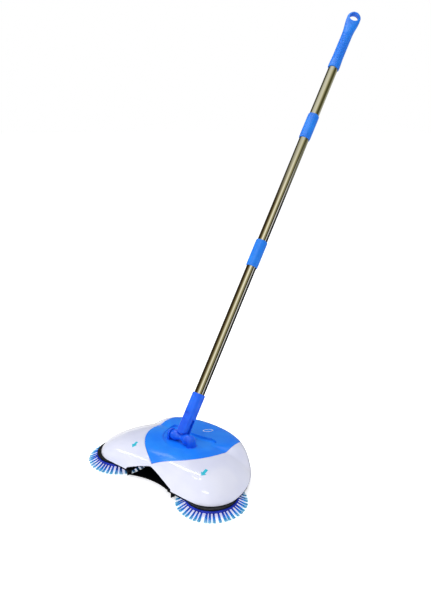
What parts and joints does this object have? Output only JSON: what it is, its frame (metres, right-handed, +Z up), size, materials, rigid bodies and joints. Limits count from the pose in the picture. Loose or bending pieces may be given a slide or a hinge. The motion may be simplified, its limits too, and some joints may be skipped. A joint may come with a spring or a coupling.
{
  "type": "spin sweeper",
  "caption": "Hand-push spin sweeper: a wide domed head with a round brush under each front corner, a dust mouth and tray between them and a long screw-together steel handle.",
  "frame": {"origin": "on the floor, midway between the two brush axes", "axes": "+Z up, -Y towards the front of the head, where the mouth is, +X towards the right brush as seen from the front; the handle leans back towards +Y"},
  "size_m": [0.386, 0.7551, 0.9142],
  "materials": {
    "white_shell": "moulded, polished to a high gloss",
    "sky_blue_cover": "moulded, high gloss",
    "deep_blue_plastic": "moulded, satin gloss",
    "grip_blue": "moulded, satin",
    "black_plastic": "moulded, fine satin",
    "acetal": "moulded, satin",
    "bristles": "drawn filament, satin",
    "polished_tube": "polished stainless steel",
    "plain_steel": "bright zinc-plated",
    "tyre_rubber": "moulded, matt",
    "rubber": "moulded, matt"
  },
  "bodies": {
    "body": {"upper_shell": "white_shell", "top_cover": "sky_blue_cover", "base_plate": "black_plastic", "floor_lip": "black_plastic", "pivot_bracket": "deep_blue_plastic", "tilt_pin": "plain_steel", "base_screw_1": "plain_steel", "base_screw_2": "plain_steel", "base_screw_3": "plain_steel", "base_screw_4": "plain_steel", "bracket_screw_1": "plain_steel", "bracket_screw_2": "plain_steel", "rear_glide_left": "rubber", "crown_pin_left": "plain_steel", "idler_pin_left": "plain_steel", "gear_plate_left": "black_plastic", "brush_bush_left": "acetal", "rear_glide_right": "rubber", "crown_pin_right": "plain_steel", "idler_pin_right": "plain_steel", "gear_plate_right": "black_plastic", "brush_bush_right": "acetal"},
    "tray": {"dust_tray": "black_plastic", "latch_spring": "plain_steel"},
    "latch": {"tray_latch": "deep_blue_plastic"},
    "knuckle": {"swivel_knuckle": "deep_blue_plastic", "fork_pin": "deep_blue_plastic"},
    "handle": {"handle_socket": "deep_blue_plastic", "lower_tube": "polished_tube", "middle_tube": "polished_tube", "upper_tube": "polished_tube", "lower_coupler": "grip_blue", "upper_coupler": "grip_blue", "lower_thread_plug": "acetal", "upper_thread_plug": "acetal", "grip": "grip_blue"},
    "wheel_left": {"wheel_axle_left": "plain_steel", "wheel_hub_left": "deep_blue_plastic", "tyre_left": "tyre_rubber", "drive_pinion_left": "acetal"},
    "crown_left": {"crown_gear_left": "acetal"},
    "idler_left": {"idler_gear_left": "acetal"},
    "brush_left": {"brush_gear_left": "acetal", "brush_shaft_left": "plain_steel", "brush_hub_left": "deep_blue_plastic", "bristles_left": "bristles", "brush_screw_left": "plain_steel"},
    "wheel_right": {"wheel_axle_right": "plain_steel", "wheel_hub_right": "deep_blue_plastic", "tyre_right": "tyre_rubber", "drive_pinion_right": "acetal"},
    "crown_right": {"crown_gear_right": "acetal"},
    "idler_right": {"idler_gear_right": "acetal"},
    "brush_right": {"brush_gear_right": "acetal", "brush_shaft_right": "plain_steel", "brush_hub_right": "deep_blue_plastic", "bristles_right": "bristles", "brush_screw_right": "plain_steel"}
  },
  "joints": [
    {"name": "handle_tilt", "type": "hinge", "parent": "body", "child": "knuckle", "pos_m": [0, 0.052, 0.068], "axis": [1, 0, 0], "range_deg": [-40, 36]},
    {"name": "handle_swivel", "type": "hinge", "parent": "knuckle", "child": "handle", "pos_m": [0, 0.06394, 0.08404], "axis": [0, -0.8022, 0.5971], "range_deg": [-40, 40]},
    {"name": "tray_slide", "type": "slide", "parent": "body", "child": "tray", "axis": [0, 1, 0], "range_m": [0, 0.15]},
    {"name": "latch_press", "type": "slide", "parent": "tray", "child": "latch", "axis": [0, 0, -1], "range_m": [0, 0.003], "stiffness_N_per_m": 400, "springref_m": -0.002, "deforming": ["latch_spring"]},
    {"name": "wheel_spin_left", "type": "hinge", "parent": "body", "child": "wheel_left", "pos_m": [-0.064, 0.076, 0.02], "axis": [1, 0, 0], "continuous": true},
    {"name": "crown_spin_left", "type": "hinge", "parent": "body", "child": "crown_left", "pos_m": [-0.09802, 0.076, 0.035], "axis": [0, 0, 1], "continuous": true},
    {"name": "idler_spin_left", "type": "hinge", "parent": "body", "child": "idler_left", "pos_m": [-0.11113, 0.0361, 0.037], "axis": [0, 0, 1], "continuous": true},
    {"name": "brush_spin_left", "type": "hinge", "parent": "body", "child": "brush_left", "pos_m": [-0.123, 0, 0.02], "axis": [0, 0, 1], "continuous": true},
    {"name": "wheel_spin_right", "type": "hinge", "parent": "body", "child": "wheel_right", "pos_m": [0.064, 0.076, 0.02], "axis": [1, 0, 0], "continuous": true},
    {"name": "crown_spin_right", "type": "hinge", "parent": "body", "child": "crown_right", "pos_m": [0.09802, 0.076, 0.035], "axis": [0, 0, 1], "continuous": true},
    {"name": "idler_spin_right", "type": "hinge", "parent": "body", "child": "idler_right", "pos_m": [0.11113, 0.0361, 0.037], "axis": [0, 0, 1], "continuous": true},
    {"name": "brush_spin_right", "type": "hinge", "parent": "body", "child": "brush_right", "pos_m": [0.123, 0, 0.02], "axis": [0, 0, 1], "continuous": true}
  ],
  "couplings": [
    {"joint": "crown_spin_left", "follows": "wheel_spin_left", "ratio": 1},
    {"joint": "idler_spin_left", "follows": "wheel_spin_left", "ratio": -0.61538},
    {"joint": "brush_spin_left", "follows": "wheel_spin_left", "ratio": 1.3333},
    {"joint": "crown_spin_right", "follows": "wheel_spin_right", "ratio": -1},
    {"joint": "idler_spin_right", "follows": "wheel_spin_right", "ratio": 0.61538},
    {"joint": "brush_spin_right", "follows": "wheel_spin_right", "ratio": -1.3333}
  ]
}
